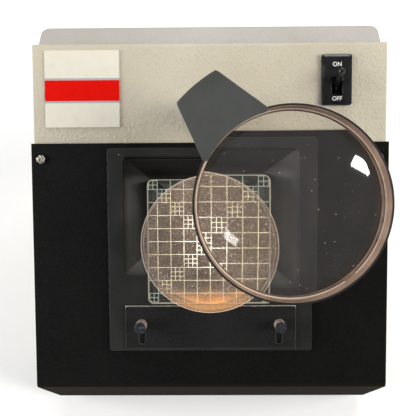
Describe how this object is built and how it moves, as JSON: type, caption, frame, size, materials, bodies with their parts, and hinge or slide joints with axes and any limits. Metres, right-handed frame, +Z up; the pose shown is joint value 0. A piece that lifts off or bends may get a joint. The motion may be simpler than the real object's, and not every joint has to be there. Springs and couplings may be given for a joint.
{
  "type": "colony counter",
  "caption": "Dark-field colony counter: sloping two-tone metal cabinet, lit stage with a ruled glass guide plate and Petri dish, and a round magnifier on a swinging, focusing arm.",
  "frame": {"origin": "on the table, under the middle of the object's box", "axes": "+X to the right and widest, +Y from the operator to the back, +Z up and shortest"},
  "size_m": [0.274, 0.2604, 0.24],
  "materials": {
    "cabinet_paint": "fine hammered grey enamel",
    "panel_paint": "satin black enamel",
    "base_paint": "satin",
    "cover_paint": "fine hammered light grey enamel",
    "foot_rubber": "matte",
    "screw_steel": "satin",
    "stage_plastic": "satin black moulding",
    "plate_glass": "clear",
    "ruling_paint": "cream paint",
    "rest_paint": "satin black enamel",
    "thumb_steel": "turned",
    "stop_paint": "matte black",
    "reflector_paint": "matte white enamel",
    "lamp_glass": "frosted",
    "lamp_brass": "satin",
    "porcelain": "glazed",
    "name_paint": "satin cream",
    "switch_plastic": "gloss black",
    "bushing_metal": "satin",
    "sleeve_metal": "satin",
    "post_chrome": "polished",
    "washer_brass": "satin",
    "ring_metal": "satin black anodised",
    "lens_glass": "polished",
    "arm_metal": "matte slate grey",
    "dish_clear": "clear polystyrene",
    "agar_gel": "moist gel"
  },
  "bodies": {
    "housing": {"cabinet": "cabinet_paint", "front_panel": "panel_paint", "base_plate": "base_paint", "rear_cover": "cover_paint", "feet": "foot_rubber", "foot_screws": "screw_steel", "cover_standoffs": "screw_steel", "rear_cover_screws": "screw_steel", "cord_bush": "switch_plastic", "panel_screws": "screw_steel", "stage": "stage_plastic", "stage_nuts": "screw_steel", "guide_plate": "plate_glass", "ruling": "ruling_paint", "darkfield_stop": "stop_paint", "reflector": "reflector_paint", "reflector_screws": "screw_steel", "lamp_bulb": "lamp_glass", "lamp_base": "lamp_brass", "lamp_socket": "porcelain", "terminal_block": "porcelain", "terminal_screws": "screw_steel", "name_plate": "name_paint", "switch_plate": "switch_plastic", "switch_body": "switch_plastic", "post_bushing": "bushing_metal", "bushing_nut": "screw_steel", "friction_screw": "screw_steel"},
    "focus": {"focus_sleeve": "sleeve_metal", "focus_stop": "sleeve_metal"},
    "magnifier": {"lens_post": "post_chrome", "thrust_washer": "washer_brass", "post_clip": "screw_steel", "lens_mount": "ring_metal", "lens": "lens_glass", "lens_retainer": "washer_brass", "arm_cover": "arm_metal", "arm_screws": "screw_steel"},
    "switch": {"switch_lever": "switch_plastic"},
    "rest": {"dish_rest": "rest_paint"},
    "left_thumbscrew": {"thumbscrew_left": "thumb_steel"},
    "right_thumbscrew": {"thumbscrew_right": "thumb_steel"},
    "dish": {"dish_base": "dish_clear", "agar": "agar_gel"},
    "lid": {"dish_lid": "dish_clear"}
  },
  "joints": [
    {"name": "focus_slide", "type": "slide", "parent": "housing", "child": "focus", "axis": [0, -0.5, 0.866], "range_m": [-0.008, 0.015]},
    {"name": "magnifier_swing", "type": "hinge", "parent": "focus", "child": "magnifier", "pos_m": [0, 0.05217, 0.17725], "axis": [0, -0.5, 0.866], "range_deg": [-130, 50]},
    {"name": "switch_toggle", "type": "hinge", "parent": "housing", "child": "switch", "pos_m": [0.0958, 0.07091, 0.18634], "axis": [1, 0, 0], "range_deg": [0, 50]},
    {"name": "rest_slide", "type": "slide", "parent": "housing", "child": "rest", "axis": [0, 0.866, 0.5], "range_m": [0, 0.013]},
    {"name": "left_thumbscrew_turn", "type": "hinge", "parent": "housing", "child": "left_thumbscrew", "pos_m": [-0.0522, -0.08493, 0.0981], "axis": [0, -0.5, 0.866], "range_deg": [0, 720]},
    {"name": "right_thumbscrew_turn", "type": "hinge", "parent": "housing", "child": "right_thumbscrew", "pos_m": [0.0522, -0.08493, 0.0981], "axis": [0, -0.5, 0.866], "range_deg": [0, 720]},
    {"name": "dish_slide", "type": "slide", "parent": "rest", "child": "dish", "axis": [-1, 0, 0], "range_m": [0, 0.16]},
    {"name": "lid_lift", "type": "slide", "parent": "dish", "child": "lid", "axis": [0, -0.5, 0.866], "range_m": [0, 0.012]}
  ]
}
